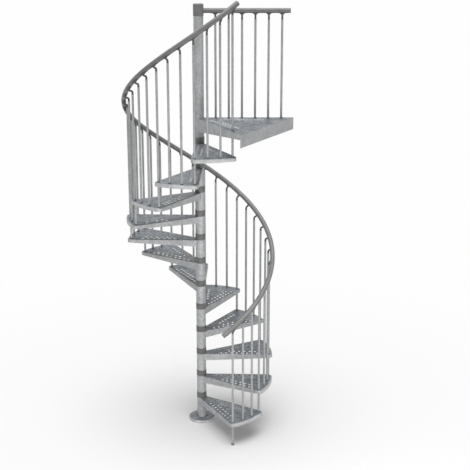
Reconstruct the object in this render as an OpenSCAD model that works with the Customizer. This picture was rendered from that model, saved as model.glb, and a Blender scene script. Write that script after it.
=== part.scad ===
// Outdoor spiral staircase in galvanised steel: folded, perforated treads on stacked hub tubes,
// round balusters, a helical handrail and a triangular landing with its own straight rail.
// Millimetres, +Z up. The origin is on the column axis at floor level, under the base plate.
// Angles run anticlockwise seen from above, from +X, and the stair climbs that way too.

/* [Flight] */
// Number of treads below the landing
tread_count = 12; // [6:1:14]
// Height from one tread to the next
rise = 230; // [190:1:235]
// Turn from one tread to the next, in degrees
turn = 30; // [26:0.5:32]
// Angle of the first baluster, in degrees
first_angle = -62.5; // [-90:0.5:-30]

/* [Column] */
// Outside diameter of the hub tubes and of the post above the landing
hub_d = 89; // [80:0.5:115]
// Wall of the hub tubes
hub_wall = 4; // [3:0.5:6]
// Room between the inner pole and the hub tubes
pole_clearance = 2; // [1:0.5:4]
// Wall of the inner pole
pole_wall = 4; // [3:0.5:6]
// Height of the spacer ring on top of each hub
ring_h = 60; // [30:1:90]
// How far the spacer rings and the cap stand out past the hubs
ring_lip = 2.5; // [1:0.5:6]
// Bevel on the edges of the spacer rings
ring_bevel = 2; // [0.5:0.5:4]
// Height of the cap on top of the post
cap_h = 105; // [80:1:140]
// How far the cap reaches below the middle of the landing rail
cap_drop = 45; // [35:1:60]
// Rounding of the cap's top edge
cap_round = 6; // [2:1:12]

/* [Base plate] */
// Outside diameter of the base plate
base_d = 254; // [200:1:320]
// Height of the base plate
base_t = 28; // [20:1:40]
// Rounding of the base plate's rim
base_round = 13; // [6:1:16]
// Thickness left under the foot of the column
base_floor = 6; // [4:0.5:10]
// Open gap around the foot of the column
base_gap = 9; // [4:0.5:16]

/* [Treads] */
// Outer radius of the treads
tread_r = 684; // [600:1:760]
// How far a tread reaches past the lines of its corner balusters
edge_margin = 32; // [24:1:40]
// Rounding of a tread's outer corners
corner_r = 38; // [32:1:60]
// Thickness of the folded sheet
sheet = 2; // [1.5:0.5:5]
// Depth of a tread's folded sides at the hub
fascia_hub = 65; // [45:1:100]
// Depth of a tread's folded sides at the outer end
fascia_rim = 33; // [20:1:44]

/* [Perforation] */
// Diameter of the grip holes
hole_d = 18; // [8:0.5:20]
// Width of the raised rim around a grip hole
grip_rim = 3.5; // [2:0.5:4]
// Height of the raised rim around a grip hole
grip_rise = 1.5; // [1:0.5:4]
// Width of the flat lip on top of a raised rim
grip_lip = 1.5; // [0.5:0.1:1.8]
// Distance from one hole of a row to the next
hole_pitch = 50; // [40:1:70]
// Distance of a tread's outer row from the edge of the sheet
row_inset = 34; // [24:1:50]
// Distance of the landing's outer row from the edge of the sheet
landing_row_inset = 82; // [60:1:110]
// Distance of the first hole from the column axis
hole_from = 140; // [110:1:220]
// Distance of the last hole of a tread from the circle of balusters
hole_end_gap = 102; // [70:1:200]
// Distance of the last hole of the landing from the circle of balusters
landing_hole_gap = 72; // [40:1:200]

/* [Railing] */
// Diameter of the balusters
baluster_d = 20; // [14:0.5:24]
// Distance of the balusters from the outer edge of the treads
baluster_inset = 37; // [30:1:60]
// Spaces between balusters on each tread
bays = 3; // [2:1:4]
// Diameter of the handrail
rail_d = 45; // [36:0.5:52]
// How far the handrail's centre line lies outside the circle of balusters
rail_out = 30; // [20:1:36]
// Height of the handrail's centre line above the floor at the first baluster
rail_h = 1195; // [1050:1:1300]
// How much more than one rise the handrail climbs over each tread
rail_gain = 7.7; // [0:0.1:12]
// Overhang of the handrail before the first baluster, along its plan circle
rail_lead = 112; // [60:1:170]
// Overhang of the handrail past the last baluster, along its plan circle
rail_tail = 35; // [34:1:90]
// Height from a baluster's top end to the handrail's centre line
neck_h = 63; // [54:1:80]
// Diameter of a connector's neck
neck_d = 17; // [14:0.5:26]
// Height over which a connector's neck rises before it bends out to the rail
neck_bend = 3; // [1:1:16]
// Length of neck over which a connector flares out under the rail
flare_h = 28; // [20:1:34]
// Length that a connector flares to along the rail
saddle_len = 92; // [50:1:100]
// Width that a connector flares to across the rail
saddle_w = 26; // [18:1:36]
// Height of the sleeve around a baluster's stepped top end
sleeve_h = 12; // [10:1:30]
// How far a baluster steps in all round at its top end
tip_step = 3.5; // [2:0.5:5]
// Wall of the sleeves, foot collars and floor foot around a baluster
sleeve_wall = 3; // [1.5:0.5:5]
// Height of the collar around the foot of a baluster
collar_h = 6; // [3:0.5:12]
// Height of the foot under the first baluster
foot_h = 14; // [10:1:24]
// Thickness of that foot under the end of the baluster
foot_floor = 5; // [2:0.5:8]

/* [Landing] */
// Angle between the front and back lines of the landing, in degrees
landing_sweep = 62.5; // [50:0.5:80]
// Distance from the column axis to the outer face of the landing
landing_reach = 716; // [690:1:820]
// Depth of the plate along the outer edge
edge_plate_h = 110; // [80:1:150]
// Thickness of the plate along the outer edge
edge_plate_t = 6; // [4:0.5:12]
// Depth of the landing's folded sides at the hub
landing_fascia_hub = 115; // [80:1:160]
// Depth of the landing's folded sides at the outer plate
landing_fascia_rim = 42; // [30:1:70]
// Height of the landing rail's centre line above the landing
landing_rail_h = 960; // [850:1:1050]
// How far the landing rail ends short of the landing's outer face
landing_rail_gap = 20.5; // [0:0.5:60]
// Number of balusters on the landing
landing_balusters = 6; // [4:1:8]
// Distance of the first landing baluster from the column axis
landing_first = 150; // [120:1:180]
// Distance of the last landing baluster from the landing's outer face, along its back line
landing_last_gap = 94.5; // [60:0.5:150]

/* [Fits] */
// Gap left where a round face seats against another piece
seat_gap = 0.3; // [0.1:0.1:0.8]
// Gap around a baluster where it passes through a sheet
through_gap = 0.5; // [0.3:0.1:0.8]
// Gap between a connector and the rail on it
rail_gap = 0.7; // [0.6:0.1:0.9]

/* [Hidden] */
// Colours of the finishes
zinc = [0.66, 0.68, 0.69];
zinc_sheet = [0.56, 0.59, 0.61];
dark_plastic = [0.38, 0.38, 0.38];
rail_grey = [0.44, 0.44, 0.44];

// Sizes of the column that follow from the ones above
hub_r = hub_d / 2;
hub_bore_r = hub_r - hub_wall;
pole_r = hub_bore_r - pole_clearance;
ring_r = hub_r + ring_lip;
landing_z = (tread_count + 1) * rise;
landing_rail_z = landing_z + landing_rail_h;
post_top = landing_rail_z - cap_drop;

// Centre of a tread's rounded corner, from the tread's middle line
corner_left = corner_r - edge_margin;
corner_s = sqrt(pow(tread_r - corner_r, 2) - pow(corner_left, 2));
tread_corner = along(turn / 2, corner_s, -corner_left);

// Circles and angles of the railing
baluster_r = tread_r - baluster_inset;
rail_r = baluster_r + rail_out;
rail_radius = rail_d / 2;
rail_slope = atan2(rise + rail_gain, rail_r * turn * PI / 180);
step_angle = turn / bays;
last_baluster = tread_count * bays;
socket_r = baluster_d / 2 + seat_gap;
sleeve_r = socket_r + sleeve_wall;
tip_r = baluster_d / 2 - tip_step;
tip_socket_r = tip_r + seat_gap;

// Rows of grip holes
row_gap = hole_pitch * sin(60);
rim_r = hole_d / 2 + grip_rim;
tread_grips = grip_places(turn / 2, row_inset, baluster_r - hole_end_gap);
landing_grips = grip_places(landing_sweep / 2, landing_row_inset, baluster_r - landing_hole_gap);

// Lines of the landing, and distances from the column axis along its back line
landing_front = first_angle + tread_count * turn;
landing_back = landing_front + landing_sweep;
deck_reach = landing_reach - edge_plate_t;
back_line = landing_reach / cos(landing_sweep / 2);
landing_last = back_line - landing_last_gap;
landing_rail_len = back_line - landing_rail_gap;

// Sides and rings of the lofted pieces
rail_sides = 16;
rings_per_bay = 4;
neck_sides = 14;
neck_rings = 10;

// Distance below the rail's centre line at which a neck ends, inside the rail
neck_stop = 10;

// Reach of the cuts across a whole wedge, and how far a cut runs past a face
far = 2 * (tread_r + landing_reach);
cut = 1;

// Angle and height of the handrail at baluster number i, which may be a fraction
function rail_angle(i) = first_angle + i * step_angle;
function rail_z(i) = rail_h + i * (rise + rail_gain) / bays;

// Number of bays in a length along the handrail's plan circle
function rail_bays(length) = length / (rail_r * step_angle * PI / 180);

// Two-digit name of a numbered piece
function numbered(name, k) = str(name, "_", k < 10 ? "0" : "", k);

// Height of the floor or tread that baluster number i stands on
function baluster_foot(i) = rise * (i % bays == 0 ? i / bays : floor(i / bays) + 1);
function baluster_top(i) = rail_z(i) - neck_h;

// Plan point at a distance along a radial line and an offset to its left
function along(angle, s, left) = [
    s * cos(angle) - left * sin(angle),
    s * sin(angle) + left * cos(angle)
];

// Plain tube standing on z = bottom
module tube(bottom, top, outer_r, inner_r) {
    translate([0, 0, bottom])
        difference() {
            cylinder(h = top - bottom, r = outer_r, $fn = 96);
            translate([0, 0, -cut])
                cylinder(h = top - bottom + 2 * cut, r = inner_r, $fn = 96);
        }
}

// Solid through a list of rings, each of as many points, closed at both ends
module loft(rings) {
    sides = len(rings[0]);
    last = len(rings) - 1;
    walls = [
        for (r = [0:last - 1], j = [0:sides - 1])
            let (
                a = r * sides + j,
                b = r * sides + (j + 1) % sides
            )
            each [[a, b, b + sides], [a, b + sides, a + sides]]
    ];
    start = [for (j = [0:sides - 1]) sides - 1 - j];
    finish = [for (j = [0:sides - 1]) last * sides + j];
    polyhedron([for (ring = rings) each ring], concat(walls, [start, finish]));
}

// Round plate with a rolled rim and a recess that takes the foot of the column
module base_plate() {
    recess_r = hub_r + base_gap;
    color(zinc_sheet)
        rotate_extrude($fn = 96)
            difference() {
                union() {
                    square([base_d / 2 - base_round, base_t]);
                    square([base_d / 2, base_t - base_round]);
                    translate([base_d / 2 - base_round, base_t - base_round])
                        circle(r = base_round, $fn = 48);
                }
                translate([-cut, base_floor])
                    square([recess_r + cut, base_t]);
            }
}

// Pole that threads the hubs and rings together, hidden inside them
module centre_pole() {
    color(zinc)
        tube(base_floor, post_top, pole_r, pole_r - pole_wall);
}

// One tube per tread, level with its top
module hub_tubes() {
    color(zinc)
        for (k = [1:tread_count])
            tube(k == 1 ? base_floor : (k - 1) * rise + ring_h, k * rise, hub_r, hub_bore_r);
}

// Plastic ring on top of each hub that carries the next one
module spacer_rings() {
    bore_r = pole_r + seat_gap;
    color(dark_plastic)
        for (k = [1:tread_count])
            translate([0, 0, k * rise])
                rotate_extrude($fn = 96)
                    polygon([
                        [bore_r, 0],
                        [ring_r - ring_bevel, 0],
                        [ring_r, ring_bevel],
                        [ring_r, ring_h - ring_bevel],
                        [ring_r - ring_bevel, ring_h],
                        [bore_r, ring_h]
                    ]);
}

// Side view of a folded wedge below z = 0: its sides taper from the hub to the outer end
module side_taper(deep, shallow, taper_end) {
    rotate([90, 0, 0])
        linear_extrude(height = far, center = true)
            polygon([
                [-far / 2, cut],
                [far / 2, cut],
                [far / 2, -shallow],
                [taper_end, -shallow],
                [hub_r, -deep],
                [-far / 2, -deep]
            ]);
}

// Wedge outline of a tread about +X, taken in all round by inset
module tread_outline(inset) {
    half = turn / 2;
    margin = edge_margin - inset;
    corners = [[tread_corner[0], -tread_corner[1]], tread_corner];
    reach = 2 * tread_r / norm(tread_corner);
    polygon([
        along(-half, 0, -margin),
        along(-half, corner_s, -margin),
        corners[0],
        corners[1],
        along(half, corner_s, margin),
        along(half, 0, margin)
    ]);
    for (corner = corners)
        translate(corner)
            circle(r = corner_r - inset, $fn = 48);
    intersection() {
        circle(r = tread_r - inset, $fn = 180);
        polygon([[0, 0], corners[0] * reach, corners[1] * reach]);
    }
}

// Places of grip holes: two staggered rows along both sides of a wedge about +X
function grip_places(half, inset, last) = [
    for (row = [0, 1], side = [-1, 1])
        for (s = [hole_from + row * hole_pitch / 2:hole_pitch:last])
            let (
                inside = inset + row * row_gap - edge_margin,
                from_middle = s * sin(half) - inside * cos(half)
            )
            if (from_middle > rim_r)
                along(side * half, s, -side * inside)
];

// Raised rims around the grip holes of a sheet with its top on z = 0
module grip_rims(places) {
    for (place = places)
        translate(place)
            cylinder(h = grip_rise, r1 = rim_r, r2 = hole_d / 2 + grip_lip, $fn = 32);
}

// Grip holes through such a sheet
module grip_holes(places) {
    for (place = places)
        translate(concat(place, -sheet - cut))
            cylinder(h = sheet + grip_rise + 2 * cut, d = hole_d, $fn = 32);
}

// Holes of a wedge for the hub and for the baluster that passes through its front corner
module column_and_baluster(half, depth) {
    translate([0, 0, -depth - cut])
        cylinder(h = depth + 2 * cut, r = hub_r + seat_gap, $fn = 96);
    rotate([0, 0, -half])
        translate([baluster_r, 0, -sheet - cut])
            cylinder(h = sheet + 2 * cut, d = baluster_d + 2 * through_gap, $fn = 32);
}

// Folded and perforated tread number k, welded to its hub
module tread(k) {
    half = turn / 2;
    color(zinc_sheet)
        translate([0, 0, k * rise])
            rotate([0, 0, first_angle + (k - 0.5) * turn])
                difference() {
                    union() {
                        intersection() {
                            translate([0, 0, -fascia_hub])
                                linear_extrude(height = fascia_hub)
                                    tread_outline(0);
                            side_taper(fascia_hub, fascia_rim, baluster_r * cos(half));
                        }
                        grip_rims(tread_grips);
                    }
                    translate([0, 0, -fascia_hub - cut])
                        linear_extrude(height = fascia_hub - sheet + cut)
                            tread_outline(sheet);
                    grip_holes(tread_grips);
                    column_and_baluster(half, fascia_hub);
                }
}

// Move to the place of baluster number i, at height z
module at_baluster(i, z) {
    rotate([0, 0, rail_angle(i)])
        translate([baluster_r, 0, z])
            children();
}

// Upright rod on z = 0 with a stepped top end
module rod(height) {
    cylinder(h = height - sleeve_h, d = baluster_d, $fn = 32);
    cylinder(h = height, r = tip_r, $fn = 32);
}

// Rod from where baluster number i stands to its top end
module baluster(i) {
    bottom = i == 0 ? foot_floor : baluster_foot(i);
    at_baluster(i, bottom)
        rod(baluster_top(i) - bottom);
}

// The balusters at the front corner and between the corners of tread number k
module balusters(k) {
    color(zinc)
        for (i = [(k - 1) * bays:k * bays - 1])
            baluster(i);
}

// The baluster at the back corner of the top tread, through the landing
module end_baluster() {
    color(zinc)
        baluster(last_baluster);
}

// Cup under the first baluster, which goes down to the floor
module floor_foot() {
    color(dark_plastic)
        at_baluster(0, 0)
            difference() {
                cylinder(h = foot_h, r = sleeve_r, $fn = 32);
                translate([0, 0, foot_floor])
                    cylinder(h = foot_h, r = socket_r, $fn = 32);
            }
}

// Collar around the foot of a baluster, lying on z = 0
module collar() {
    tube(0, collar_h, sleeve_r, socket_r);
}

// Collars where balusters stand on a tread or the landing, or pass through one
module baluster_collars() {
    color(dark_plastic) {
        for (i = [1:last_baluster])
            at_baluster(i, baluster_foot(i))
                collar();
        for (k = [1:tread_count + 1])
            at_baluster((k - 1) * bays, k * rise)
                collar();
        for (j = [0:landing_balusters - 1])
            at_landing_baluster(j, landing_z)
                collar();
    }
}

// Ring of points around the handrail's centre line at baluster number i
function rail_ring(i) =
    let (
        angle = rail_angle(i),
        outward = [cos(angle), sin(angle), 0],
        ahead = [-sin(angle) * cos(rail_slope), cos(angle) * cos(rail_slope), sin(rail_slope)],
        upward = cross(outward, ahead),
        middle = [rail_r * cos(angle), rail_r * sin(angle), rail_z(i)]
    )
    [for (j = [0:rail_sides - 1])
        let (a = 360 * j / rail_sides)
        middle + rail_radius * (cos(a) * outward + sin(a) * upward)];

// Helical tube that the connectors carry, cut square at both ends
module handrail() {
    stations = concat(
        [-rail_bays(rail_lead)],
        [for (n = [0:last_baluster * rings_per_bay]) n / rings_per_bay],
        [last_baluster + rail_bays(rail_tail)]
    );
    color(rail_grey)
        loft([for (i = stations) rail_ring(i)]);
}

// Place outwards and upwards of a connector's neck at a length along it, and its lean.
// The neck bends out to the rail in one quarter turn and back upright in another.
function neck_path(length, out) =
    let (
        bend_r = out / 2,
        quarter = PI / 2 * bend_r,
        bent = neck_bend + 2 * quarter
    )
    length <= neck_bend ? [0, length, 0]
    : length >= bent ? [out, neck_bend + out + length - bent, 0]
    : length < bent - quarter ?
        let (lean = (length - neck_bend) / quarter * 90)
        [bend_r * (1 - cos(lean)), neck_bend + bend_r * sin(lean), lean]
    :
        let (lean = (bent - length) / quarter * 90)
        [bend_r * (1 + cos(lean)), neck_bend + bend_r * (2 - sin(lean)), lean];

// Ring of points around a connector's neck, a share of the way from its sleeve into the rail.
// The ring turns to the slope of the rail on the way and flares at the end.
function neck_ring(share, out, slope) =
    let (
        whole = neck_h - neck_stop + (PI / 2 - 1) * out,
        place = neck_path(share * whole, out),
        lean = place[2],
        flare = max(0, 1 - (1 - share) * whole / flare_h),
        tilt = slope * min(1, share * whole / (whole - flare_h)),
        lengthwise = [0, cos(tilt), sin(tilt)],
        sideways = cross(lengthwise, [sin(lean), 0, cos(lean)]),
        across = sideways / norm(sideways),
        half_len = neck_d / 2 + (saddle_len - neck_d) / 2 * pow(flare, 1.2),
        half_width = neck_d / 2 + (saddle_w - neck_d) / 2 * flare
    )
    [for (j = [0:neck_sides - 1])
        let (a = 360 * j / neck_sides)
        [place[0], 0, place[1]] + half_len * cos(a) * lengthwise + half_width * sin(a) * across];

// Sleeve and neck from the origin, a baluster's top end, to a rail that lies out from it
module connector(out, slope) {
    difference() {
        union() {
            translate([0, 0, -sleeve_h])
                cylinder(h = sleeve_h, r = tip_socket_r + sleeve_wall, $fn = 32);
            loft([for (n = [0:neck_rings]) neck_ring(n / neck_rings, out, slope)]);
        }
        translate([0, 0, -2 * sleeve_h])
            cylinder(h = 2 * sleeve_h, r = tip_socket_r, $fn = 32);
        translate([out, 0, neck_h])
            rotate([slope - 90, 0, 0])
                cylinder(h = 3 * saddle_len, r = rail_radius + rail_gap, center = true, $fn = 64);
    }
}

// Plastic connectors from each baluster to the handrail outside it
module rail_connectors() {
    color(dark_plastic)
        for (i = [0:last_baluster])
            at_baluster(i, baluster_top(i))
                connector(rail_out, rail_slope);
}

// Move a piece drawn about +X, with the deck's top on z = 0, to the middle of the landing
module at_landing() {
    translate([0, 0, landing_z])
        rotate([0, 0, landing_front + landing_sweep / 2])
            children();
}

// Half the width of the landing at a distance from the column axis, taken in at its sides
function landing_half_width(reach, inset) =
    reach * tan(landing_sweep / 2) + (edge_margin - inset) / cos(landing_sweep / 2);

// Outline of the landing about +X, up to a distance from the column axis, taken in at its sides
module landing_outline(reach, inset) {
    half = landing_sweep / 2;
    margin = edge_margin - inset;
    half_width = landing_half_width(reach, inset);
    polygon([
        along(-half, 0, -margin),
        [reach, -half_width],
        [reach, half_width],
        along(half, 0, margin)
    ]);
}

// Folded and perforated deck of the landing, open towards its outer plate
module landing_deck() {
    color(zinc_sheet)
        at_landing()
            difference() {
                union() {
                    intersection() {
                        translate([0, 0, -landing_fascia_hub])
                            linear_extrude(height = landing_fascia_hub)
                                landing_outline(deck_reach, 0);
                        side_taper(landing_fascia_hub, landing_fascia_rim, deck_reach);
                    }
                    grip_rims(landing_grips);
                }
                translate([0, 0, -landing_fascia_hub - cut])
                    linear_extrude(height = landing_fascia_hub - sheet + cut)
                        landing_outline(deck_reach + cut, sheet);
                grip_holes(landing_grips);
                column_and_baluster(landing_sweep / 2, landing_fascia_hub);
            }
}

// Flat plate along the landing's outer edge, which meets the building
module landing_edge_plate() {
    half_width = landing_half_width(landing_reach, 0);
    color(zinc)
        at_landing()
            translate([deck_reach, -half_width, -edge_plate_h])
                cube([edge_plate_t, 2 * half_width, edge_plate_h]);
}

// Tube under the landing, on the top spacer ring
module landing_hub() {
    color(zinc)
        tube(tread_count * rise + ring_h, landing_z, hub_r, hub_bore_r);
}

// Post from the landing up to the cap
module top_post() {
    color(zinc)
        tube(landing_z, post_top, hub_r, hub_bore_r);
}

// Plastic cap that closes the post and takes the end of the landing rail
module post_cap() {
    color(dark_plastic)
        translate([0, 0, post_top])
            rotate_extrude($fn = 96) {
                square([ring_r - cap_round, cap_h]);
                square([ring_r, cap_h - cap_round]);
                translate([ring_r - cap_round, cap_h - cap_round])
                    circle(r = cap_round, $fn = 32);
            }
}

// Straight rail from the cap along the back of the landing
module landing_rail() {
    color(rail_grey)
        rotate([0, 0, landing_back])
            difference() {
                translate([0, 0, landing_rail_z])
                    rotate([0, 90, 0])
                        cylinder(h = landing_rail_len, d = rail_d, $fn = 64);
                translate([0, 0, landing_rail_z - rail_d])
                    cylinder(h = 2 * rail_d, r = ring_r + seat_gap, $fn = 96);
            }
}

// Move to the place of landing baluster number j, at height z, facing along the back line
module at_landing_baluster(j, z) {
    pitch = (landing_last - landing_first) / (landing_balusters - 1);
    rotate([0, 0, landing_back])
        translate([landing_first + j * pitch, 0, z])
            children();
}

// Rods along the back of the landing
module landing_balusters() {
    color(zinc)
        for (j = [0:landing_balusters - 1])
            at_landing_baluster(j, landing_z)
                rod(landing_rail_h - neck_h);
}

// Plastic connectors from the landing balusters up to their rail
module landing_connectors() {
    color(dark_plastic)
        for (j = [0:landing_balusters - 1])
            at_landing_baluster(j, landing_rail_z - neck_h)
                rotate([0, 0, 90])
                    connector(0, 0);
}

base_plate();
centre_pole();
hub_tubes();
spacer_rings();
for (k = [1:tread_count])
    tread(k);
for (k = [1:tread_count])
    balusters(k);
end_baluster();
floor_foot();
baluster_collars();
handrail();
rail_connectors();
landing_deck();
landing_edge_plate();
landing_hub();
top_post();
post_cap();
landing_rail();
landing_balusters();
landing_connectors();
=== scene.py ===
import math
from math import cos, pi, radians, sin

import bmesh
import bpy
from mathutils import Matrix, Vector
from mathutils.geometry import delaunay_2d_cdt


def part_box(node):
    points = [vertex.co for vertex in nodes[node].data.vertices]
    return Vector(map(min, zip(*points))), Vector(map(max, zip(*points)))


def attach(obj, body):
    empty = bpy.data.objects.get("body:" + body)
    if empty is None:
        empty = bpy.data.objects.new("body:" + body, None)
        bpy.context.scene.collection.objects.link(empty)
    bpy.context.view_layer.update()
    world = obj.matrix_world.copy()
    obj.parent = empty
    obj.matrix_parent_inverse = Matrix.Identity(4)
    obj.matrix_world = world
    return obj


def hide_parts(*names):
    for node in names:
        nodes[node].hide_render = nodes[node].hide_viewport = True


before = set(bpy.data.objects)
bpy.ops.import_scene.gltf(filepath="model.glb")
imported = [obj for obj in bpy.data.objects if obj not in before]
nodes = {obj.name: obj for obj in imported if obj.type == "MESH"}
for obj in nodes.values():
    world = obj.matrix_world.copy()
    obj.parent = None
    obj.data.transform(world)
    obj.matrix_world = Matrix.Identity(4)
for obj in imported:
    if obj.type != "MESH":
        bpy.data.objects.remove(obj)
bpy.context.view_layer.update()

# Flight, column and sheets, as the part has them
TREADS = 12
TURN = radians(30)
FIRST_ANGLE = radians(-62.5)
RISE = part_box("hub_tubes")[1].z / TREADS
HUB_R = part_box("top_post")[1].x
TREAD_R = 0.684
EDGE_MARGIN = 0.032
CORNER_R = 0.038
SHEET = 0.002
FASCIA_HUB = 0.065
FASCIA_RIM = 0.033
HUB_SINK = 0.0005
SIDE_START = math.sqrt((HUB_R - HUB_SINK) ** 2 - EDGE_MARGIN**2)

# Balusters and handrail
BAYS = 3
BALUSTER_R = 0.647
BALUSTER_D = 0.020
RAIL_R = 0.677
RAIL_D = 0.045
RAIL_H = 1.195
RAIL_GAIN = 0.0077
RAIL_CLIMB = RISE + RAIL_GAIN
RAIL_LEAD = 0.112
RAIL_TAIL = 0.035
STEP = TURN / BAYS
LAST_BALUSTER = TREADS * BAYS
RAIL_SLOPE = math.atan2(RAIL_CLIMB, RAIL_R * TURN)

# Connectors between balusters and rails
NECK_H = 0.063
NECK_D = 0.017
NECK_BEND = 0.003
NECK_STOP = 0.010
FLARE_H = 0.028
FLARE_POWER = 1.2
SADDLE_LEN = 0.092
SADDLE_W = 0.026
SADDLE_GAP = 0.0004
SLEEVE_H = 0.012
SLEEVE_R = 0.0098
SLEEVE_ROUND = 0.001
SLEEVE_ROUND_CUT = 0.3 * SLEEVE_ROUND

# Landing
LANDING_Z = (TREADS + 1) * RISE
LANDING_SWEEP = radians(62.5)
LANDING_REACH = 0.710
LANDING_FASCIA_HUB = 0.115
LANDING_FASCIA_RIM = 0.042
LANDING_MIDDLE = FIRST_ANGLE + TREADS * TURN + LANDING_SWEEP / 2
LANDING_RAIL_H = 0.960
LANDING_RAIL_Z = LANDING_Z + LANDING_RAIL_H
LANDING_BALUSTERS = 6
LANDING_FIRST = 0.150
LANDING_LAST = 0.743

# Grip holes, and the holes that a baluster runs through
HOLE_R = 0.009
GRIP_RIM_R = 0.0125
GRIP_LIP_R = 0.0105
GRIP_RISE = 0.0015
GRIP_FLANK_H = 0.0009
GRIP_ROUND = 0.0006
HOLE_PITCH = 0.050
ROW_GAP = HOLE_PITCH * sin(radians(60))
ROW_INSET = 0.034
LANDING_ROW_INSET = 0.082
HOLE_FROM = 0.140
HOLE_END_GAP = 0.102
HOLE_TO = BALUSTER_R - HOLE_END_GAP
LANDING_HOLE_GAP = 0.072
LANDING_HOLE_TO = BALUSTER_R - LANDING_HOLE_GAP
THROUGH_GAP = 0.0005
THROUGH_R = BALUSTER_D / 2 + THROUGH_GAP

# Rubbed wear with painted highlight, and dirt with painted shade, on the sheets, from 0 to 1, and
# how far they reach round a grip hole
RIM_WEAR_AND_HIGHLIGHT = 0.15
FRONT_DIRT_AND_SHADE = 1.0
# Rear rows lie in the shade of the tread above: they take less painted shade and more painted
# highlight
REAR_DIRT_AND_SHADE = 0.25
LANDING_DIRT_AND_SHADE = 0.08
STAIN_AND_SHADE_R = 0.0205
STAIN_AND_SHADE_DARK_R = 0.0175
RUB_FADE = 0.5

# Roundings that the solids leave sharp
SIDE_FOLD_R = 0.006
RIM_FOLD_R = 0.012
RAIL_CHAMFER = 0.0015

# Bolts under the feet of the balusters
BOLT_FLATS = 0.013
BOLT_HEAD_H = 0.0053
BOLT_BEVEL_H = 0.15 * BOLT_HEAD_H
BOLT_FACE_SHARE = 0.88
WASHER_R = 0.010
WASHER_H = 0.0016
WASHER_BEVEL = 0.2 * WASHER_H

# Fineness of the meshes, tolerances, and the kind of triangulation
FOLD_STEPS = 6
SIDE_STEPS = 10
CORNER_STEPS = 9
RIM_STEPS = 14
HUB_STEPS = 12
LANDING_SIDE_STEPS = 12
LANDING_HUB_STEPS = 24
HOLE_SIDES = 20
RAIL_SIDES = 32
RAIL_RINGS_PER_BAY = 8
NECK_SIDES = 24
NECK_RINGS = 28
WASHER_SIDES = 24
BOLT_SIDES = 6
SMOOTH_ANGLE = radians(32)
REACH_SLACK = 1e-6
MERGE_DISTANCE = 1e-7
WHOLE_HULL = 0

# Zinc: warp and small crystals relative to the crystal size, noise scales per metre, shares and
# ranges of the mix, and the sRGB levels of rubbed metal with painted highlight and of dirt with
# painted shade
ZINC_WARP_SCALE = 0.7
ZINC_WARP_REACH = 0.6
SMALL_CRYSTAL = 0.42
SMALL_CRYSTAL_SHARE = 0.38
PATCH_SCALE = 9.0
PATCH_RANGE = (0.32, 0.68)
PATCH_SHARE = 0.30
ZINC_STOPS = (0.2, 0.5, 0.8)
# Up-facing zinc takes its darker top colour between these heights of the normal: painted shade
ZINC_TOP_SHADE_UP = (0.55, 0.95)
WEAR_STOPS = (0.3, 0.6)
RUB_AND_HIGHLIGHT_LEVELS = (206, 238)
RUB_AND_HIGHLIGHT_TINT = 1
DIRT_AND_SHADE_LEVELS = (52, 78)
DIRT_AND_SHADE_TINT = 4
ZINC_ROUGH = 0.58
ZINC_SMOOTH = 0.40
GRIT_SCALE = 700.0
GRIT_SHARE = 0.35
ZINC_SPECULAR = 0.4
ZINC_BUMP = 0.12

# Plastic: noise scales per metre, shares and ranges of the mix
CLOUD_SCALE = 14.0
SCUFF_SCALE = 120.0
SCUFF_WARP_SCALE = 60.0
SCUFF_WARP_REACH = 0.01
SCUFF_SHARE = 0.4
PLASTIC_STOPS = (0.3, 0.5, 0.7)
# Up-facing plastic takes its paler top colour between these heights of the normal: painted light
PLASTIC_TOP_LIGHT_UP = (0.20, 0.55)
GLOSS_RANGE = (0.3, 0.7)
GLOSS_BELOW = 0.08
GLOSS_ABOVE = 0.10
PLASTIC_SPECULAR = 0.5
PLASTIC_BUMP = 0.10

# Both: the depth of the bump, and the numbers of a Mix node's sockets for colours
BUMP_DISTANCE = 0.001
MIX_SHARE = 0
MIX_FIRST = 6
MIX_SECOND = 7
MIX_RESULT = 2

# Studio light, floor and camera, with greys of the floor as sRGB levels
AMBIENT = 0.40
BACKDROP = 1.0
OVERHEAD_STRENGTH = 2.00
OVERHEAD_ANGLE = radians(50)
OVERHEAD_FROM = Vector((-0.04, -0.14, 1.0))
LAMP_PLACE = Vector((1.1, -4.6, 0.85))
LAMP_TARGET = Vector((0, 0, 0.6))
LAMP_SIZE = (8.0, 1.0)
LAMP_WATTS = 120
CAMERA_PLACE = Vector((0.242, -10.000, 4.929))
CAMERA_YAW = radians(0.473)
CAMERA_PITCH = radians(16.96)
CAMERA_LENS = 85.5
FLOOR_HALF = 60
FLOOR_SEEN = 240
FLOOR_BOUNCE = 204
FLOOR_FAR = 254
FLOOR_FADE_MIDDLE = Vector((0.27, -0.30, 0))
FLOOR_FADE_FROM = 0.2
FLOOR_FADE_TO = 5.0
FLOOR_FADE_POWER = 1.6
WHITE = (1, 1, 1, 1)


def add_node(tree, kind, inputs=None, **settings):
    """A shader node with its settings, and inputs given as constants or as sockets to link."""
    made = tree.nodes.new(kind)
    for key, value in settings.items():
        setattr(made, key, value)
    for key, value in (inputs or {}).items():
        if isinstance(value, bpy.types.NodeSocket):
            tree.links.new(value, made.inputs[key])
        else:
            made.inputs[key].default_value = value
    return made


def new_material(name):
    """An empty node material and its tree."""
    material = bpy.data.materials.new(name)
    material.use_nodes = True
    material.node_tree.nodes.clear()
    return material, material.node_tree


def noise(tree, place, scale, detail):
    """Noise texture at a place."""
    return add_node(
        tree, "ShaderNodeTexNoise", {"Vector": place, "Scale": scale, "Detail": detail}
    )


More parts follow.
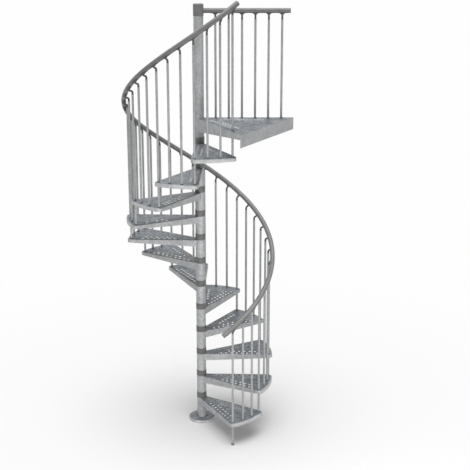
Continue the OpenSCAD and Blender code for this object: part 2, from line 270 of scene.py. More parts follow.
def warped(tree, place, scale, reach):
    """A place shifted by noise, so that borders of cells run unevenly."""
    wobble = noise(tree, place, scale, detail=2.0).outputs["Color"]
    centred = add_node(
        tree, "ShaderNodeVectorMath", {0: wobble, 1: (-0.5, -0.5, -0.5)}, operation="ADD"
    )
    scaled = add_node(
        tree, "ShaderNodeVectorMath", {0: centred.outputs[0], "Scale": reach}, operation="SCALE"
    )
    moved = add_node(
        tree, "ShaderNodeVectorMath", {0: place, 1: scaled.outputs[0]}, operation="ADD"
    )
    return moved.outputs[0]


def crystals(tree, place, size):
    """A random value for each crystal of about that size."""
    cells = add_node(tree, "ShaderNodeTexVoronoi", {"Vector": place, "Scale": 1 / size})
    parts = add_node(tree, "ShaderNodeSeparateColor", {"Color": cells.outputs["Color"]})
    return parts.outputs["Red"]


def math_node(tree, operation, first, second):
    """Result of a math operation on two sockets or numbers."""
    return add_node(tree, "ShaderNodeMath", {0: first, 1: second}, operation=operation).outputs[0]


def blend_values(tree, first, second, share):
    """A value between two sockets."""
    mix = add_node(tree, "ShaderNodeMix", {"Factor": share, "A": first, "B": second})
    return mix.outputs["Result"]


def spread(tree, value, low, high, from_low=0.0, from_high=1.0):
    """A value mapped from one range to another."""
    mapped = add_node(
        tree,
        "ShaderNodeMapRange",
        {
            "Value": value,
            "From Min": from_low,
            "From Max": from_high,
            "To Min": low,
            "To Max": high,
        },
    )
    return mapped.outputs["Result"]


def ramp(tree, value, stops, colours):
    """Colours at stops along a value."""
    made = add_node(tree, "ShaderNodeValToRGB", {"Fac": value})
    elements = made.color_ramp.elements
    while len(elements) < len(stops):
        elements.new(0.5)
    for element, stop, colour in zip(elements, stops, colours):
        element.position = stop
        element.color = (*colour, 1)
    return made.outputs["Color"]


def mix_colours(tree, share, first, second):
    """A colour between two sockets."""
    inputs = {MIX_SHARE: share, MIX_FIRST: first, MIX_SECOND: second}
    return add_node(tree, "ShaderNodeMix", inputs, data_type="RGBA").outputs[MIX_RESULT]


def grey(level, tint=0.0):
    """Linear grey of an sRGB level from 0 to 255, shifted to blue by the tint."""
    def linear(shade):
        share = shade / 255
        return share / 12.92 if share <= 0.04045 else ((share + 0.055) / 1.055) ** 2.4
    return (linear(level - tint), linear(level), linear(level + tint))


def shades(*levels, tint=0.0):
    """Greys of several sRGB levels with one tint."""
    return [grey(level, tint) for level in levels]


def finish_material(tree, colour, roughness, height, metallic, specular, bump_strength):
    """Principled shader with the bump of a height."""
    bump = add_node(
        tree,
        "ShaderNodeBump",
        {"Height": height, "Strength": bump_strength, "Distance": BUMP_DISTANCE},
    )
    shader = add_node(
        tree,
        "ShaderNodeBsdfPrincipled",
        {
            "Base Color": colour,
            "Roughness": roughness,
            "Metallic": metallic,
            "Specular IOR Level": specular,
            "Normal": bump.outputs["Normal"],
        },
    )
    add_node(tree, "ShaderNodeOutputMaterial", {"Surface": shader.outputs[0]})


def facing_up(tree, low, high):
    """How far a face looks up: nothing below one height of its normal, one above the other."""
    normal = add_node(tree, "ShaderNodeNewGeometry").outputs["Normal"]
    up = add_node(tree, "ShaderNodeSeparateXYZ", {0: normal}).outputs["Z"]
    return spread(tree, up, 0.0, 1.0, low, high)


def painted(tree, name):
    """A value that the sheets carry at their vertices, nothing on pieces without it."""
    return add_node(tree, "ShaderNodeAttribute", attribute_name=name).outputs["Fac"]


def galvanised(name, crystal, sides, tops, metallic):
    """Zinc with crystals of about that size, in colours for its sides and tops.

    Faces that look up take a darker colour, painted shade. The insides of folded sheets, their
    undersides and the walls of their holes take the dark dirt colour as painted shade; dirt and
    painted shade lie round the grip holes, and their rims and a tread's outer rim are painted
    bright, rubbed wear with painted highlight.
    """
    material, tree = new_material(name)
    place = add_node(tree, "ShaderNodeTexCoord").outputs["Object"]
    uneven = warped(tree, place, ZINC_WARP_SCALE / crystal, ZINC_WARP_REACH * crystal)
    large = crystals(tree, uneven, crystal)
    small = crystals(tree, uneven, SMALL_CRYSTAL * crystal)
    patches = noise(tree, place, PATCH_SCALE, detail=4.0).outputs["Fac"]
    grain = blend_values(tree, large, small, SMALL_CRYSTAL_SHARE)
    clear_patches = spread(tree, patches, 0.0, 1.0, *PATCH_RANGE)
    mottle = blend_values(tree, grain, clear_patches, PATCH_SHARE)
    side_colour = ramp(tree, mottle, ZINC_STOPS, sides)
    top_shading_colour = ramp(tree, mottle, ZINC_STOPS, tops)
    # Faces that look up take the darker top colour: painted shade
    top_shaded = mix_colours(tree, facing_up(tree, *ZINC_TOP_SHADE_UP), side_colour, top_shading_colour)
    # Painted highlight and rubbed wear where a sheet carries it
    rub_and_highlight = ramp(tree, patches, WEAR_STOPS, shades(*RUB_AND_HIGHLIGHT_LEVELS, tint=RUB_AND_HIGHLIGHT_TINT))
    worn_and_lit = mix_colours(tree, painted(tree, "wear_and_highlight"), top_shaded, rub_and_highlight)
    # Painted shade on insides and undersides, and painted shade with dirt round the grip holes
    dirt_and_shade_colour = ramp(tree, patches, WEAR_STOPS, shades(*DIRT_AND_SHADE_LEVELS, tint=DIRT_AND_SHADE_TINT))
    dirt_and_shade = math_node(tree, "MAXIMUM", painted(tree, "inside"), painted(tree, "stain_and_shade"))
    colour = mix_colours(tree, dirt_and_shade, worn_and_lit, dirt_and_shade_colour)
    roughness = spread(tree, mottle, ZINC_ROUGH, ZINC_SMOOTH)
    grit = noise(tree, place, GRIT_SCALE, detail=2.0).outputs["Fac"]
    height = blend_values(tree, grain, grit, GRIT_SHARE)
    finish_material(tree, colour, roughness, height, metallic, ZINC_SPECULAR, ZINC_BUMP)
    return material


def plastic(name, sides, tops, rough, grain_scale):
    """Moulded plastic with a fine grain and uneven gloss, with a paler colour on faces that look up
    as painted light.
    """
    material, tree = new_material(name)
    place = add_node(tree, "ShaderNodeTexCoord").outputs["Object"]
    clouds = noise(tree, place, CLOUD_SCALE, detail=5.0).outputs["Fac"]
    rubbed_place = warped(tree, place, SCUFF_WARP_SCALE, SCUFF_WARP_REACH)
    scuffs = noise(tree, rubbed_place, SCUFF_SCALE, detail=4.0).outputs["Fac"]
    shade = blend_values(tree, clouds, scuffs, SCUFF_SHARE)
    side_colour = ramp(tree, shade, PLASTIC_STOPS, sides)
    top_shading_colour = ramp(tree, shade, PLASTIC_STOPS, tops)
    # Faces that look up take the paler top colour: painted light
    colour = mix_colours(tree, facing_up(tree, *PLASTIC_TOP_LIGHT_UP), side_colour, top_shading_colour)
    roughness = spread(tree, shade, rough - GLOSS_BELOW, rough + GLOSS_ABOVE, *GLOSS_RANGE)
    grain = noise(tree, place, grain_scale, detail=2.0).outputs["Fac"]
    finish_material(tree, colour, roughness, grain, 0.0, PLASTIC_SPECULAR, PLASTIC_BUMP)
    return material


# Finishes; zinc tops are darker than their sides as painted shade, most plastic tops paler as
# painted light
zinc_tube = galvanised(
    "zinc_tube", crystal=0.016, metallic=0.25,
    sides=shades(162, 176, 192, tint=1), tops=shades(116, 130, 146, tint=4),
)
zinc_plate = galvanised(
    "zinc_plate", crystal=0.022, metallic=0.25,
    sides=shades(158, 166, 175, tint=2), tops=shades(126, 140, 154, tint=4),
)
zinc_rod = galvanised(
    "zinc_rod", crystal=0.016, metallic=0.25,
    sides=shades(153, 163, 173, tint=1), tops=shades(132, 142, 152, tint=2),
)
zinc_sheet = galvanised(
    "zinc_sheet", crystal=0.022, metallic=0.25,
    sides=shades(160, 171, 184, tint=1), tops=shades(114, 136, tint=6) + shades(160, tint=5),
)
# The landing deck's copy of the sheet finish: its darker tops are painted shade, its sides paler
shaded_zinc_deck = galvanised(
    "shaded_zinc_deck", crystal=0.022, metallic=0.25,
    sides=shades(170, 182, 196, tint=1), tops=shades(100, 121, tint=6) + shades(145, tint=5),
)
zinc_base = galvanised(
    "zinc_base", crystal=0.026, metallic=0.30,
    sides=shades(170, 190, 208, tint=1), tops=shades(118, 134, 152, tint=5),
)
dark_plastic = plastic(
    "dark_plastic", rough=0.48, grain_scale=900.0,
    sides=shades(66, 76, 88), tops=shades(72, 82, 94),
)
collar_plastic = plastic(
    "collar_plastic", rough=0.45, grain_scale=900.0,
    sides=shades(92, 102, 114), tops=shades(98, 108, 120),
)
cap_plastic = plastic(
    "cap_plastic", rough=0.40, grain_scale=900.0,
    sides=shades(108, 118, 130), tops=shades(112, 122, 134),
)
ring_plastic = plastic(
    "ring_plastic", rough=0.42, grain_scale=700.0,
    sides=shades(84, 102, 124), tops=shades(84, 102, 124),
)
rail_plastic = plastic(
    "rail_plastic", rough=0.22, grain_scale=1200.0,
    sides=shades(102, 110, 120), tops=shades(120, 131, 144),
)

# The finish of each material slot, and of the nodes that differ from their slot
finishes = {
    "galvanised_tube": zinc_tube,
    "galvanised_sheet": zinc_sheet,
    "dark_plastic": dark_plastic,
    "rail_plastic": rail_plastic,
}
for node in nodes.values():
    for slot in node.material_slots:
        slot.material = finishes[slot.material.name.split(".")[0]]
own_finishes = {
    "base_plate": zinc_base,
    "landing_edge_plate": zinc_plate,
    "spacer_rings": ring_plastic,
    "baluster_collars": collar_plastic,
    "floor_foot": collar_plastic,
    "post_cap": cap_plastic,
}
rods = [name for name in nodes if "baluster" in name and name != "baluster_collars"]
own_finishes.update({name: zinc_rod for name in rods})
for name, finish in own_finishes.items():
    for slot in nodes[name].material_slots:
        slot.material = finish


def add_piece(name, mesh, slot, replaced=(), finish=None):
    """A mesh as a piece on the fixed body, with its own finish or that of its material slot."""
    mesh.materials.append(finish or finishes[slot])
    piece = bpy.data.objects.new(name, mesh)
    bpy.context.scene.collection.objects.link(piece)
    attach(piece, "root")
    if replaced:
        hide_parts(*replaced)
    return piece


def add_weighted_normals(piece):
    """Flat faces keep their own direction beside rounded edges."""
    modifier = piece.modifiers.new("flat_faces", "WEIGHTED_NORMAL")
    modifier.keep_sharp = True


def finish_mesh(name, bm):
    """A mesh from a bmesh, smooth but for its real edges."""
    bmesh.ops.recalc_face_normals(bm, faces=bm.faces)
    mesh = bpy.data.meshes.new(name)
    bm.to_mesh(mesh)
    bm.free()
    mesh.polygons.foreach_set("use_smooth", [True] * len(mesh.polygons))
    mesh.set_sharp_from_angle(angle=SMOOTH_ANGLE)
    return mesh


def join_rings(bm, rings, closed=True):
    """Faces between neighbouring rings of as many vertices."""
    count = len(rings[0])
    for lower, upper in zip(rings, rings[1:]):
        for n in range(count if closed else count - 1):
            m = (n + 1) % count
            bm.faces.new((lower[n], lower[m], upper[m], upper[n]))


def add_rings(bm, rings, closed=True):
    """Faces through rings of points, each ring of as many points, with caps at both ends."""
    made = [[bm.verts.new(point) for point in ring] for ring in rings]
    join_rings(bm, made, closed)
    bm.faces.new(list(reversed(made[0])))
    bm.faces.new(made[-1])
    return made


def along(angle, reach, left=0.0):
    """Plan point at a distance along a radial line and an offset to its left."""
    return Vector((reach * cos(angle) - left * sin(angle), reach * sin(angle) + left * cos(angle)))


def around(sides):
    """Angles once around."""
    return [2 * pi * n / sides for n in range(sides)]


def circle(centre, radius, sides):
    """Plan points around a centre."""
    return [centre + radius * along(angle, 1.0) for angle in around(sides)]


def turned(angle):
    """A turn about the column."""
    return Matrix.Rotation(angle, 4, "Z")


def placed(angle, z):
    """A turn about the column and a lift."""
    return Matrix.Translation((0, 0, z)) @ turned(angle)


def grip_places(half, inset, last, front_dirt_and_shade, rear_dirt_and_shade):
    """Plan places of the grip holes, each with its share of dirt and painted shade round it.

    Two staggered rows run along both sides of a wedge about +X.
    """
    places = []
    for row in (0, 1):
        inside = inset + row * ROW_GAP - EDGE_MARGIN
        reach = HOLE_FROM + row * HOLE_PITCH / 2
        while reach <= last + REACH_SLACK:
            if reach * sin(half) - inside * cos(half) > GRIP_RIM_R:
                for side, dirt_and_shade in ((-1, front_dirt_and_shade), (1, rear_dirt_and_shade)):
                    places.append((along(side * half, reach, -side * inside), dirt_and_shade))
            reach += HOLE_PITCH
    return places


def grip_steps(dirt_and_shade):
    """Rings from the sheet's top over a grip hole's raised rim to the sheet's underside.

    Each has a radius, a height and how bright the metal there is painted, as rubbed wear and
    painted highlight.
    """
    return [
        (STAIN_AND_SHADE_DARK_R, 0.0, RUB_FADE * (1.0 - dirt_and_shade)),
        (GRIP_RIM_R, 0.0, 1.0 - dirt_and_shade),
        (GRIP_RIM_R - GRIP_ROUND, GRIP_FLANK_H, 1.0),
        (GRIP_LIP_R, GRIP_RISE, 1.0),
        (GRIP_LIP_R - GRIP_ROUND, GRIP_RISE, 1.0),
        (HOLE_R, GRIP_RISE - GRIP_ROUND, 1.0),
        (HOLE_R, GRIP_RISE - SHEET, 0.0),
        (GRIP_RIM_R, -SHEET, 0.0),
    ]


class Edge:
    """A point of a sheet's folded edge: plan place, outward direction, fold radius, depth, and its
    rubbed wear with painted highlight.
    """

    def __init__(self, place, outward, fold_r, depth, worn_and_lit=0.0):
        self.place = place
        self.outward = outward
        self.fold_r = fold_r
        self.depth = depth
        self.worn_and_lit = worn_and_lit

    def profile(self):
        """The fold from the sheet's top, down the outside and back up the inside."""
        inner_r = self.fold_r - SHEET
        angles = [pi / 2 * n / FOLD_STEPS for n in range(FOLD_STEPS + 1)]
        outside = [(self.fold_r * (1 - sin(a)), self.fold_r * (cos(a) - 1)) for a in angles]
        inside = [(self.fold_r - inner_r * sin(a), inner_r * cos(a) - self.fold_r) for a in angles]
        lower = [(0.0, -self.depth), (SHEET, -self.depth)]
        return [
            Vector((*(self.place - self.outward * inset), z))
            for inset, z in outside + lower + inside[::-1]
        ]

    def fold_start(self):
        """Plan point where the flat sheet meets the fold."""
        return self.profile()[0].to_2d()


def taper(x, deep, shallow, end):
    """Depth of a folded side at a distance along a wedge about +X."""
    share = min(max((x - HUB_R) / (end - HUB_R), 0.0), 1.0)
    return deep + (shallow - deep) * share


def inside_outline(point, outline):
    """Whether a plan point lies inside a closed outline."""
    inside = False
    for a, b in zip(outline, outline[1:] + outline[:1]):
        if (a.y > point.y) != (b.y > point.y):
            if point.x < (b.x - a.x) * (point.y - a.y) / (b.y - a.y) + a.x:
                inside = not inside
    return inside


def flat_faces(loops, holes):
    """Faces between a sheet's outline, the first loop, and its holes, by the numbers of points."""
    edges, count = [], 0
    for loop in loops:
        size = len(loop)
        edges += [(count + n, count + (n + 1) % size) for n in range(size)]
        count += size
    points = [point for loop in loops for point in loop]
    flat = delaunay_2d_cdt(points, edges, [], WHOLE_HULL, MERGE_DISTANCE)
    places, faces, sources = flat[0], flat[2], flat[3]
    kept = []
    for face in faces:
        middle = sum((places[n] for n in face), Vector((0, 0))) / len(face)
        in_hole = any((middle - centre).length < radius for centre, radius in holes)
        if not in_hole and inside_outline(middle, loops[0]):
            kept.append([sources[n][0] for n in face])
    return kept


def folded_sheet(name, folds, hub_edge, grips, through):
    """A sheet with folded edges about +X, its top on z = 0, with raised grip holes.

    folds are runs of Edge points; the runs are joined by straight open edges and closed by the
    points of hub_edge along the column. Round each grip hole the sheet carries a share of dirt and
    painted shade, and the rest as rubbed wear with painted highlight. A baluster passes at the
    place called through.
    """
    bm = bmesh.new()
    wear_and_highlight, inside, stain_and_shade = (bm.verts.layers.float.new(kind) for kind in ("wear_and_highlight", "inside", "stain_and_shade"))

    # Folds, and the outline of the flat sheet between them
    top_loop, under_loop = [], []
    for run in folds:
        columns = add_rings(bm, [edge.profile() for edge in run], closed=False)
        for edge, column in zip(run, columns):
            # The outside of each fold carries the edge's rubbed wear with painted highlight; its
            # inside takes the dark colour as painted shade
            for vert in column[1:FOLD_STEPS + 2]:
                vert[wear_and_highlight] = edge.worn_and_lit
            for vert in column[FOLD_STEPS + 2:]:
                vert[inside] = 1.0
        top_loop += [column[0] for column in columns]
        under_loop += [column[-1] for column in columns]
    for point in hub_edge:
        top_loop.append(bm.verts.new((*point, 0)))
        under_loop.append(bm.verts.new((*point, -SHEET)))

    # Flat top and underside with holes
    loops = [[vert.co.to_2d() for vert in top_loop]]
    tops, unders = list(top_loop), list(under_loop)
    holes = [(centre, STAIN_AND_SHADE_R) for centre, dirt_and_shade in grips] + [(through, THROUGH_R)]
    for centre, radius in holes:
        loop = circle(centre, radius, HOLE_SIDES)
        loops.append(loop)
        tops += [bm.verts.new((*point, 0)) for point in loop]
        unders += [bm.verts.new((*point, -SHEET)) for point in loop]
    # The underside takes the dark colour as painted shade
    for vert in unders:
        vert[inside] = 1.0
    for corners in flat_faces(loops, holes):
        bm.faces.new([tops[n] for n in corners])
        bm.faces.new([unders[n] for n in reversed(corners)])

    # Raised rims of the grip holes, and last the plain wall of the baluster's hole
    rims = [(centre, dirt_and_shade, grip_steps(dirt_and_shade)) for centre, dirt_and_shade in grips] + [(through, 0.0, [])]
    for number, (centre, dirt_and_shade, steps) in enumerate(rims):
        first = len(top_loop) + number * HOLE_SIDES
        rings = [tops[first:first + HOLE_SIDES]]
        # Rings carry rubbed wear with painted highlight; below the top they take the dark colour as
        # painted shade, and at the top's level the hole's dirt and painted shade
        for ring_r, z, rub_and_highlight in steps:
            rings.append([bm.verts.new((*p, z)) for p in circle(centre, ring_r, HOLE_SIDES)])
            for vert in rings[-1]:
                vert[wear_and_highlight] = rub_and_highlight
                vert[inside] = 1.0 if z < 0 else 0.0
                vert[stain_and_shade] = dirt_and_shade if z == 0 else 0.0
        rings.append(unders[first:first + HOLE_SIDES])
        join_rings(bm, rings)

    # Open edges along the column and between the runs
    walls = [top_loop[-len(hub_edge) - 1:] + top_loop[:1]]
    end = 0
    for run in folds[:-1]:
        end += len(run)
        walls.append(top_loop[end - 1:end + 1])
    under_of = dict(zip(top_loop, under_loop))
    for wall in walls:
        for a, b in zip(wall, wall[1:]):
            bm.faces.new((a, b, under_of[b], under_of[a]))
    return finish_mesh(name, bm)


def hub_arc(first, last, steps):
    """Points along the column between two plan points, clockwise about the axis."""
    radius = first.length
    start = math.atan2(first.y, first.x)
    end = math.atan2(last.y, last.x)
    return [along(start + (end - start) * n / steps, radius) for n in range(1, steps)]


def tread_edge():
    """The folded edge of a tread about +X, from the hub round the outer rim and back to the hub."""
    half = TURN / 2
    left = CORNER_R - EDGE_MARGIN
    corner_s = math.sqrt((TREAD_R - CORNER_R) ** 2 - left**2)
    corner = along(half, corner_s, -left)
    corner_angle = math.atan2(corner.y, corner.x)
    outline = []
    for n in range(SIDE_STEPS):
        reach = SIDE_START + (corner_s - SIDE_START) * n / SIDE_STEPS
        outline.append((along(-half, reach, -EDGE_MARGIN), -half - pi / 2, 0.0))
    centre = Vector((corner.x, -corner.y))
    for n in range(CORNER_STEPS):
        share = n / CORNER_STEPS
        angle = -half - pi / 2 + share * (half + pi / 2 - corner_angle)
        outline.append((centre + CORNER_R * along(angle, 1.0), angle, share))
    for n in range(RIM_STEPS // 2 + 1):
        angle = -corner_angle + 2 * corner_angle * n / RIM_STEPS
        outline.append((TREAD_R * along(angle, 1.0), angle, 1.0))
    mirrored = [(Vector((p.x, -p.y)), -angle, share) for p, angle, share in outline[-2::-1]]
    run = []
    # The outer rim's fold is painted paler: rubbed wear with painted highlight
    for place, angle, share in outline + mirrored:
        fold_r = SIDE_FOLD_R + (RIM_FOLD_R - SIDE_FOLD_R) * share
        depth = taper(place.x, FASCIA_HUB, FASCIA_RIM, BALUSTER_R * cos(half))
        run.append(Edge(place, along(angle, 1.0), fold_r, depth, RIM_WEAR_AND_HIGHLIGHT * share))
    return run


# Treads
rim = tread_edge()
tread_mesh = folded_sheet(
    "tread", [rim], hub_arc(rim[-1].fold_start(), rim[0].fold_start(), HUB_STEPS),
    grip_places(TURN / 2, ROW_INSET, HOLE_TO, FRONT_DIRT_AND_SHADE, REAR_DIRT_AND_SHADE),
    along(-TURN / 2, BALUSTER_R),
)
for k in range(1, TREADS + 1):
    mesh = tread_mesh.copy()
    mesh.transform(placed(FIRST_ANGLE + (k - 0.5) * TURN, k * RISE))
    piece = add_piece(f"tread_sheet_{k:02d}", mesh, "galvanised_sheet", [f"tread_{k:02d}"])
    add_weighted_normals(piece)
bpy.data.meshes.remove(tread_mesh)


def landing_side(side):
    """The folded edge along one side of the landing about +X, from the hub to the edge plate."""
    half = LANDING_SWEEP / 2
    end = (LANDING_REACH + EDGE_MARGIN * sin(half)) / cos(half)
    run = []
    for n in range(LANDING_SIDE_STEPS + 1):
        reach = SIDE_START + (end - SIDE_START) * n / LANDING_SIDE_STEPS
        place = along(side * half, reach, side * EDGE_MARGIN)
        outward = along(side * (half + pi / 2), 1.0)
        if n == LANDING_SIDE_STEPS:
            outward = Vector((0, side / cos(half)))
        depth = taper(place.x, LANDING_FASCIA_HUB, LANDING_FASCIA_RIM, LANDING_REACH)
        run.append(Edge(place, outward, SIDE_FOLD_R, depth))
    return run


# Landing deck
front, back = landing_side(-1), landing_side(1)[::-1]
mesh = folded_sheet(
    "landing_sheet", [front, back],
    hub_arc(back[-1].fold_start(), front[0].fold_start(), LANDING_HUB_STEPS),
    grip_places(
        LANDING_SWEEP / 2, LANDING_ROW_INSET, LANDING_HOLE_TO, LANDING_DIRT_AND_SHADE, LANDING_DIRT_AND_SHADE
    ),
    along(-LANDING_SWEEP / 2, BALUSTER_R),
)
mesh.transform(placed(LANDING_MIDDLE, LANDING_Z))
add_weighted_normals(
    add_piece("landing_sheet", mesh, "galvanised_sheet", ["landing_deck"], shaded_zinc_deck)
)


def rail_z(i):
    """Height of the handrail's centre line at baluster number i, which may be a fraction."""
    return RAIL_H + i * RAIL_CLIMB / BAYS


def rail_ring(i, radius):
    """Points around the handrail's centre line at baluster number i, which may be a fraction."""
    angle = FIRST_ANGLE + i * STEP
    outward = Vector((cos(angle), sin(angle), 0))
    ahead = Vector((-sin(angle) * cos(RAIL_SLOPE), cos(angle) * cos(RAIL_SLOPE), sin(RAIL_SLOPE)))
    upward = outward.cross(ahead)
    middle = RAIL_R * outward + Vector((0, 0, rail_z(i)))
    return [
        middle + radius * (cos(a) * outward + sin(a) * upward) for a in around(RAIL_SIDES)
    ]


# Handrail, cut square with a small chamfer at both ends
bay_length = RAIL_R * STEP
rail_start = -RAIL_LEAD / bay_length
rail_end = LAST_BALUSTER + RAIL_TAIL / bay_length
chamfer = RAIL_CHAMFER / bay_length
ring_count = round((rail_end - rail_start) * RAIL_RINGS_PER_BAY)
inner_start, inner_end = rail_start + chamfer, rail_end - chamfer
stations = [
    inner_start + (inner_end - inner_start) * n / ring_count for n in range(ring_count + 1)
]
rings = [rail_ring(i, RAIL_D / 2) for i in stations]
rings.insert(0, rail_ring(rail_start, RAIL_D / 2 - RAIL_CHAMFER))
rings.append(rail_ring(rail_end, RAIL_D / 2 - RAIL_CHAMFER))
bm = bmesh.new()
add_rings(bm, rings)
add_weighted_normals(
    add_piece("handrail_tube", finish_mesh("handrail_tube", bm), "rail_plastic", ["handrail"])
)


def neck_path(length, out):
    """Place outwards and upwards of a connector's neck at a length along it, and its lean.

    The neck bends out to the rail in one quarter turn and back upright in another.
    """
    bend_r = out / 2
    bent = NECK_BEND + pi * bend_r
    if length <= NECK_BEND:
        return 0.0, length, 0.0
    if length <= NECK_BEND + pi / 2 * bend_r:
        lean = (length - NECK_BEND) / bend_r
        return bend_r * (1 - cos(lean)), NECK_BEND + bend_r * sin(lean), lean
    if length <= bent:
        lean = (bent - length) / bend_r
        return bend_r * (1 + cos(lean)), NECK_BEND + bend_r * (2 - sin(lean)), lean
    return out, NECK_BEND + out + length - bent, 0.0


def neck_ring(share, out, slope):
    """Points around a connector's neck, a share of the way from its sleeve into the rail."""
    whole = NECK_H - NECK_STOP + (pi / 2 - 1) * out
    length = share * whole
    x, z, lean = neck_path(length, out)
    flare = max(0.0, 1 - (whole - length) / FLARE_H)
    tilt = slope * min(1.0, length / (whole - FLARE_H))
    lengthwise = Vector((0, cos(tilt), sin(tilt)))
    across = lengthwise.cross(Vector((sin(lean), 0, cos(lean)))).normalized()
    half_len = NECK_D / 2 + (SADDLE_LEN - NECK_D) / 2 * flare**FLARE_POWER
    half_width = NECK_D / 2 + (SADDLE_W - NECK_D) / 2 * flare
    return [
        Vector((x, 0, z)) + half_len * cos(a) * lengthwise + half_width * sin(a) * across
        for a in around(NECK_SIDES)
    ]


def outside_rail(point, out, slope):
    """A point of a connector, moved out to the rail's surface where it lies inside the rail."""
    axis = Vector((0, cos(slope), sin(slope)))
    offset = point - Vector((out, 0, NECK_H))
    beside = offset - offset.dot(axis) * axis
    reach = RAIL_D / 2 + SADDLE_GAP
    if beside.length >= reach:
        return point
    return point + beside.normalized() * (reach - beside.length)


def sleeve_ring(radius, z):
    """Points around a connector's sleeve."""
    return [Vector((-radius * sin(a), radius * cos(a), z)) for a in around(NECK_SIDES)]


def connector_rings(out, slope):
    """Rings of a connector from the lower end of its sleeve to its saddle under the rail."""
    sleeve = [
        sleeve_ring(SLEEVE_R - SLEEVE_ROUND, -SLEEVE_H),
        sleeve_ring(SLEEVE_R - SLEEVE_ROUND_CUT, -SLEEVE_H + SLEEVE_ROUND_CUT),
        sleeve_ring(SLEEVE_R, -SLEEVE_H + SLEEVE_ROUND),
        sleeve_ring(SLEEVE_R, -SLEEVE_ROUND),
        sleeve_ring(SLEEVE_R - SLEEVE_ROUND_CUT, -SLEEVE_ROUND_CUT),
    ]
    neck = [
        [outside_rail(point, out, slope) for point in neck_ring(n / NECK_RINGS, out, slope)]
        for n in range(NECK_RINGS + 1)
    ]
    return sleeve + neck


def add_connectors(name, places, out, slope, replaced):
    """One piece of connectors at several places."""
    rings = connector_rings(out, slope)
    bm = bmesh.new()
    for place in places:
        add_rings(bm, [[place @ point for point in ring] for ring in rings])
    add_piece(name, finish_mesh(name, bm), "dark_plastic", [replaced])


def connector_place(i):
    """Place and turn of the connector on baluster number i, facing outwards."""
    out_and_up = Matrix.Translation((BALUSTER_R, 0, rail_z(i) - NECK_H))
    return turned(FIRST_ANGLE + i * STEP) @ out_and_up


# Connectors of the handrail and of the landing rail
add_connectors(
    "handrail_connectors", [connector_place(i) for i in range(LAST_BALUSTER + 1)],
    RAIL_R - BALUSTER_R, RAIL_SLOPE, "rail_connectors",
)
landing_pitch = (LANDING_LAST - LANDING_FIRST) / (LANDING_BALUSTERS - 1)
landing_feet = [Vector((LANDING_FIRST + j * landing_pitch, 0)) for j in range(LANDING_BALUSTERS)]
crosswise = turned(pi / 2)
add_connectors(
    "landing_rail_connectors",
    [Matrix.Translation((*foot, LANDING_RAIL_Z - NECK_H)) @ crosswise for foot in landing_feet],
    0.0, 0.0, "landing_connectors",
)


def add_bolt(bm, place, z):
    """A hex bolt with a washer, hanging head down from a sheet's underside."""
    def level(radius, drop, sides):
        return [Vector((*p, z - drop)) for p in circle(place, radius, sides)]
    add_rings(bm, [
        level(WASHER_R, 0, WASHER_SIDES),
        level(WASHER_R, WASHER_H - WASHER_BEVEL, WASHER_SIDES),
        level(WASHER_R - WASHER_BEVEL, WASHER_H, WASHER_SIDES),
    ])
    corner_r = BOLT_FLATS / math.sqrt(3)
    foot = WASHER_H + BOLT_HEAD_H
    add_rings(bm, [
        level(corner_r, WASHER_H, BOLT_SIDES),
        level(corner_r, foot - BOLT_BEVEL_H, BOLT_SIDES),
        level(BOLT_FACE_SHARE * corner_r, foot, BOLT_SIDES),
    ])


# Bolts that hold the feet of the balusters from below
bm = bmesh.new()
for k in range(1, TREADS + 1):
    for i in range((k - 1) * BAYS + 1, k * BAYS + 1):
        add_bolt(bm, along(FIRST_ANGLE + i * STEP, BALUSTER_R), k * RISE - SHEET)
for foot in landing_feet:
    add_bolt(bm, foot, LANDING_Z - SHEET)
add_piece("baluster_bolts", finish_mesh("baluster_bolts", bm), "galvanised_tube")

# Studio
scene = bpy.context.scene
scene.view_settings.view_transform = "Standard"


def seen_rays(tree):
    """One for rays from the camera and its reflections, which show the white of the studio."""
    path = add_node(tree, "ShaderNodeLightPath").outputs
    mirrored = math_node(tree, "MAXIMUM", path["Is Glossy Ray"], path["Is Transmission Ray"])
    return math_node(tree, "MAXIMUM", path["Is Camera Ray"], mirrored)


def mix_shaders(tree, share, first, second):
    """A blend of two shader nodes."""
    return add_node(
        tree, "ShaderNodeMixShader", {0: share, 1: first.outputs[0], 2: second.outputs[0]}
    )


# World, which lights the object and shows white
world = bpy.data.worlds.new("studio")
world.use_nodes = True
scene.world = world
tree = world.node_tree
tree.nodes.clear()
light = add_node(tree, "ShaderNodeBackground", {"Color": WHITE, "Strength": AMBIENT})
backdrop = add_node(tree, "ShaderNodeBackground", {"Color": WHITE, "Strength": BACKDROP})
mixed = mix_shaders(tree, seen_rays(tree), light, backdrop)
add_node(tree, "ShaderNodeOutputWorld", {"Surface": mixed.outputs[0]})

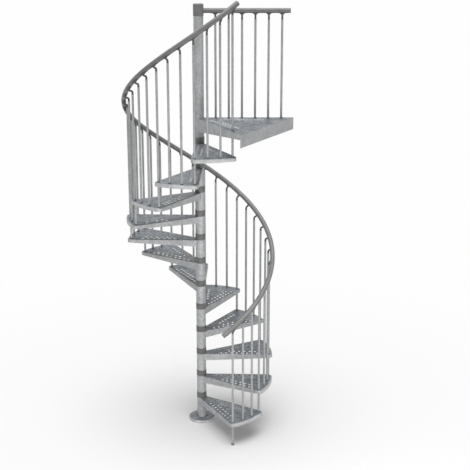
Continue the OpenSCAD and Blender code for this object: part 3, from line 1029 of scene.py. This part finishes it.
# Floor, which keeps the shadow near the object and fades to white away from it
floor_mesh = bpy.data.meshes.new("floor")
floor_mesh.from_pydata(
    [(x * FLOOR_HALF, y * FLOOR_HALF, 0) for x, y in ((-1, -1), (1, -1), (1, 1), (-1, 1))],
    [], [(0, 1, 2, 3)],
)
floor = bpy.data.objects.new("floor", floor_mesh)
scene.collection.objects.link(floor)
floor_finish, tree = new_material("floor")
place = add_node(tree, "ShaderNodeTexCoord").outputs["Object"]
distance = add_node(
    tree, "ShaderNodeVectorMath", {0: place, 1: FLOOR_FADE_MIDDLE}, operation="DISTANCE"
).outputs["Value"]
near = spread(tree, distance, 1.0, 0.0, FLOOR_FADE_FROM, FLOOR_FADE_TO)
fade = math_node(tree, "SUBTRACT", 1.0, math_node(tree, "POWER", near, FLOOR_FADE_POWER))
seen = seen_rays(tree)
pale = add_node(tree, "ShaderNodeBsdfDiffuse", {"Color": (*grey(FLOOR_SEEN), 1)})
dim = add_node(tree, "ShaderNodeBsdfDiffuse", {"Color": (*grey(FLOOR_BOUNCE), 1)})
glow = add_node(tree, "ShaderNodeEmission", {"Color": (*grey(FLOOR_FAR), 1), "Strength": 1.0})
matt = mix_shaders(tree, seen, dim, pale)
mixed = mix_shaders(tree, math_node(tree, "MULTIPLY", fade, seen), matt, glow)
add_node(tree, "ShaderNodeOutputMaterial", {"Surface": mixed.outputs[0]})
floor_mesh.materials.append(floor_finish)


def aim(item, direction):
    """Put a lamp or the camera into the scene, looking along a direction."""
    item.rotation_mode = "QUATERNION"
    item.rotation_quaternion = direction.to_track_quat("-Z", "Y")
    scene.collection.objects.link(item)


# Lamps
lamp = bpy.data.lights.new("front_softbox", "AREA")
lamp.shape = "RECTANGLE"
lamp.size, lamp.size_y = LAMP_SIZE
lamp.energy = LAMP_WATTS
softbox = bpy.data.objects.new("front_softbox", lamp)
softbox.location = LAMP_PLACE
softbox.visible_camera = False
aim(softbox, LAMP_TARGET - LAMP_PLACE)

overhead = bpy.data.lights.new("overhead", "SUN")
overhead.energy = OVERHEAD_STRENGTH
overhead.angle = OVERHEAD_ANGLE
aim(bpy.data.objects.new("overhead", overhead), -OVERHEAD_FROM)

# Camera
camera = bpy.data.objects.new("camera", bpy.data.cameras.new("camera"))
camera.data.lens = CAMERA_LENS
camera.location = CAMERA_PLACE
aim(camera, Vector((
    sin(CAMERA_YAW) * cos(CAMERA_PITCH),
    cos(CAMERA_YAW) * cos(CAMERA_PITCH),
    -sin(CAMERA_PITCH),
)))
scene.camera = camera
